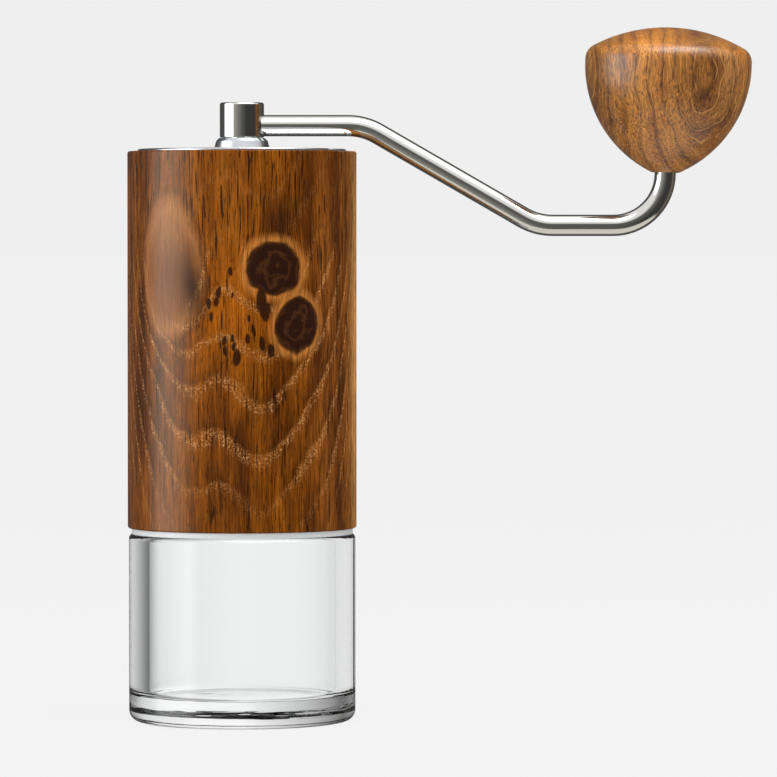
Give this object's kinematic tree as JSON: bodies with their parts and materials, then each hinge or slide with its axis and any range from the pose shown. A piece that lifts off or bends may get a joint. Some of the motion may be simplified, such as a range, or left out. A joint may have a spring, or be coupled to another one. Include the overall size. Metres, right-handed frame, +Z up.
{
  "type": "hand crank coffee grinder",
  "caption": "Hand crank coffee grinder: straight wooden-sleeved cylinder with a cone burr mill inside, a bent steel crank with a turned wooden knob, and a screw-on glass jar below.",
  "frame": {"origin": "centre of the jar's flat underside, on the surface the grinder stands on", "axes": "+Z up along the body and the axle, +X along the crank arm to the knob, +Y completes a right-handed set"},
  "size_m": [0.1635, 0.06, 0.1817],
  "materials": {
    "burl_veneer": "oiled burl veneer, satin",
    "oak_knob": "turned and oiled",
    "clear_glass": "polished",
    "silicone_translucent": "satin",
    "steel_lid": "fine spun",
    "steel_polished": "polished",
    "aluminium_bare": "turned",
    "aluminium_anodised": "bead blasted",
    "steel_burr": "ground",
    "steel_bearing": "ground",
    "steel_spring": "drawn",
    "steel_screw": "bright",
    "brass_turned": "turned",
    "rubber_black": "matte"
  },
  "bodies": {
    "jar": {"jar": "clear_glass"},
    "seal": {"jar_gasket": "silicone_translucent"},
    "housing": {"wood_sleeve": "burl_veneer", "body_tube": "aluminium_bare", "upper_bearing_bridge": "aluminium_anodised", "lower_bearing_bridge": "aluminium_anodised", "upper_bearing_outer_race": "steel_bearing", "lower_bearing_outer_race": "steel_bearing", "upper_bearing_circlip": "steel_spring", "lower_bearing_circlip": "steel_spring", "upper_bridge_screws": "steel_screw", "lower_bridge_screws": "steel_screw", "burr_carrier": "aluminium_anodised", "burr_carrier_screws": "steel_screw", "outer_burr": "steel_burr", "burr_retaining_ring": "steel_lid", "retaining_ring_screws": "steel_screw"},
    "axle": {"axle": "steel_bearing", "upper_bearing_inner_race": "steel_bearing", "lower_bearing_inner_race": "steel_bearing", "axle_circlip_lower": "steel_spring", "axle_circlip_upper_inner": "steel_spring", "axle_circlip_upper_outer": "steel_spring", "spring_seat": "brass_turned", "burr_spring": "steel_spring"},
    "bearing_balls": {"upper_bearing_balls": "steel_bearing", "upper_bearing_cage": "brass_turned", "lower_bearing_balls": "steel_bearing", "lower_bearing_cage": "brass_turned"},
    "cone": {"inner_burr": "steel_burr", "click_plate": "steel_screw"},
    "dial": {"adjusting_dial": "aluminium_anodised", "dial_nut": "brass_turned", "detent_balls": "steel_bearing", "detent_springs": "steel_spring"},
    "lid": {"lid": "steel_lid", "lid_seal": "rubber_black"},
    "crank": {"crank_hub": "steel_polished", "crank_arm": "steel_polished", "knob_snap_ring": "steel_spring"},
    "knob": {"knob": "oak_knob", "knob_bush": "brass_turned"}
  },
  "joints": [
    {"name": "housing_unscrew", "type": "hinge", "parent": "jar", "child": "seal", "pos_m": [0, 0, 0.0492], "axis": [0, 0, 1], "range_deg": [0, 900]},
    {"name": "housing_lift", "type": "slide", "parent": "seal", "child": "housing", "axis": [0, 0, 1], "range_m": [0, 0.00751]},
    {"name": "axle_turn", "type": "hinge", "parent": "housing", "child": "axle", "pos_m": [0, 0, 0.1283], "axis": [0, 0, 1], "continuous": true},
    {"name": "bearing_balls_turn", "type": "hinge", "parent": "housing", "child": "bearing_balls", "pos_m": [0, 0, 0.1283], "axis": [0, 0, 1], "continuous": true},
    {"name": "crank_lift", "type": "slide", "parent": "axle", "child": "crank", "axis": [0, 0, 1], "range_m": [0, 0.08]},
    {"name": "knob_turn", "type": "hinge", "parent": "crank", "child": "knob", "pos_m": [0.1109, 0, 0.14345], "axis": [0.0279, 0, 0.9996], "continuous": true},
    {"name": "lid_lift", "type": "slide", "parent": "housing", "child": "lid", "axis": [0, 0, 1], "range_m": [0, 0.0401]},
    {"name": "burr_adjust", "type": "slide", "parent": "axle", "child": "cone", "axis": [0, 0, 1], "range_m": [0, 0.00187], "deforming": ["burr_spring"]},
    {"name": "dial_turn", "type": "hinge", "parent": "cone", "child": "dial", "pos_m": [0, 0, 0.0592], "axis": [0, 0, 1], "range_deg": [0, 900]}
  ],
  "couplings": [
    {"joint": "housing_lift", "follows": "housing_unscrew", "m_per_rad": 0.00047746},
    {"joint": "bearing_balls_turn", "follows": "axle_turn", "ratio": 0.40571},
    {"joint": "lid_lift", "follows": "crank_lift", "ratio": 0.5},
    {"joint": "dial_turn", "follows": "burr_adjust", "rad_per_m": 8377.6}
  ]
}
